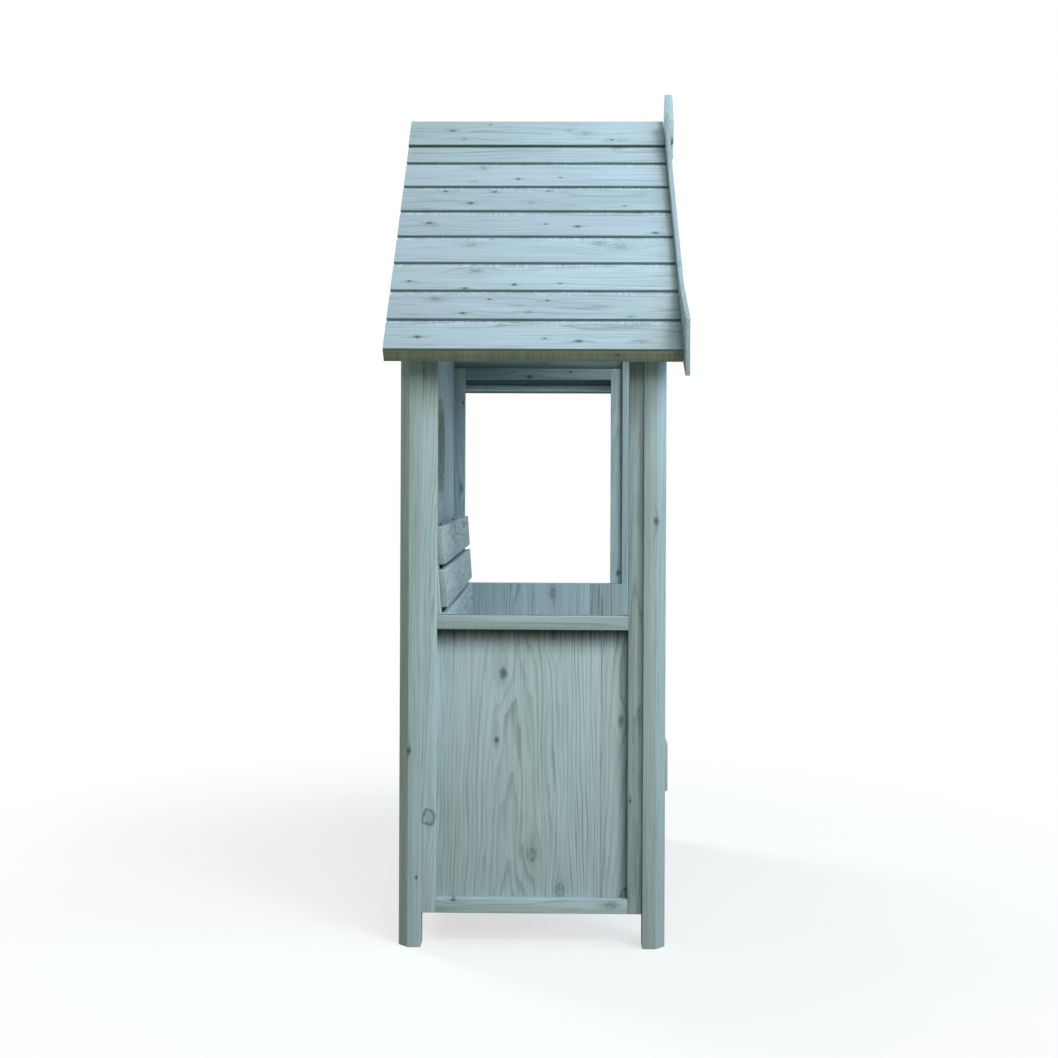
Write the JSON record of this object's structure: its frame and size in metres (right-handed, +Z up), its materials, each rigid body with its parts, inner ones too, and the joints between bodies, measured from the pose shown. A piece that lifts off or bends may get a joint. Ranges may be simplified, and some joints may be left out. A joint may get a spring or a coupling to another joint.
{
  "type": "arbor seat",
  "caption": "Garden arbor seat of green-tinted softwood with framed sides, a boarded back, a slatted bench and a steep lapped-board gable roof with curved bargeboards.",
  "frame": {"origin": "centre of the footprint at ground level, under the feet of the posts", "axes": "+X across the seat to the sitter's left, -Y the open front, +Z up"},
  "size_m": [1.4, 0.704, 2.1254],
  "materials": {
    "framing": "pressure treated softwood, matt, open grain with small knots",
    "side_panels": "pressure treated softwood, matt, open grain with small knots",
    "wall_boards": "pressure treated softwood, matt, open grain with small knots",
    "roof_boards": "pressure treated softwood, matt, open grain with small knots",
    "seat_boards": "pressure treated softwood, matt, open grain with small knots",
    "trim_boards": "pressure treated softwood, matt, open grain with small knots"
  },
  "bodies": {
    "root": {"back_bottom_rail": "framing", "back_middle_rail": "framing", "back_top_rail": "framing", "back_wall_boards": "wall_boards", "backrest_slats": "seat_boards", "finial": "trim_boards", "left_back_post": "framing", "left_back_rafter": "framing", "left_back_stile": "framing", "left_backrest_support": "framing", "left_bargeboard": "trim_boards", "left_bottom_rail": "framing", "left_eave_board": "trim_boards", "left_front_post": "framing", "left_front_rafter": "framing", "left_front_stile": "framing", "left_middle_rail": "framing", "left_ridge_board": "roof_boards", "left_roof_batten": "framing", "left_roof_boards": "roof_boards", "left_seat_bearer": "framing", "left_side_panel": "side_panels", "left_top_rail": "framing", "middle_backrest_support": "framing", "middle_seat_bearer": "framing", "right_back_post": "framing", "right_back_rafter": "framing", "right_back_stile": "framing", "right_backrest_support": "framing", "right_bargeboard": "trim_boards", "right_bottom_rail": "framing", "right_eave_board": "trim_boards", "right_front_post": "framing", "right_front_rafter": "framing", "right_front_stile": "framing", "right_middle_rail": "framing", "right_ridge_board": "roof_boards", "right_roof_batten": "framing", "right_roof_boards": "roof_boards", "right_seat_bearer": "framing", "right_side_panel": "side_panels", "right_top_rail": "framing", "seat_apron": "seat_boards", "seat_back_rail": "framing", "seat_slats": "seat_boards"}
  },
  "joints": []
}
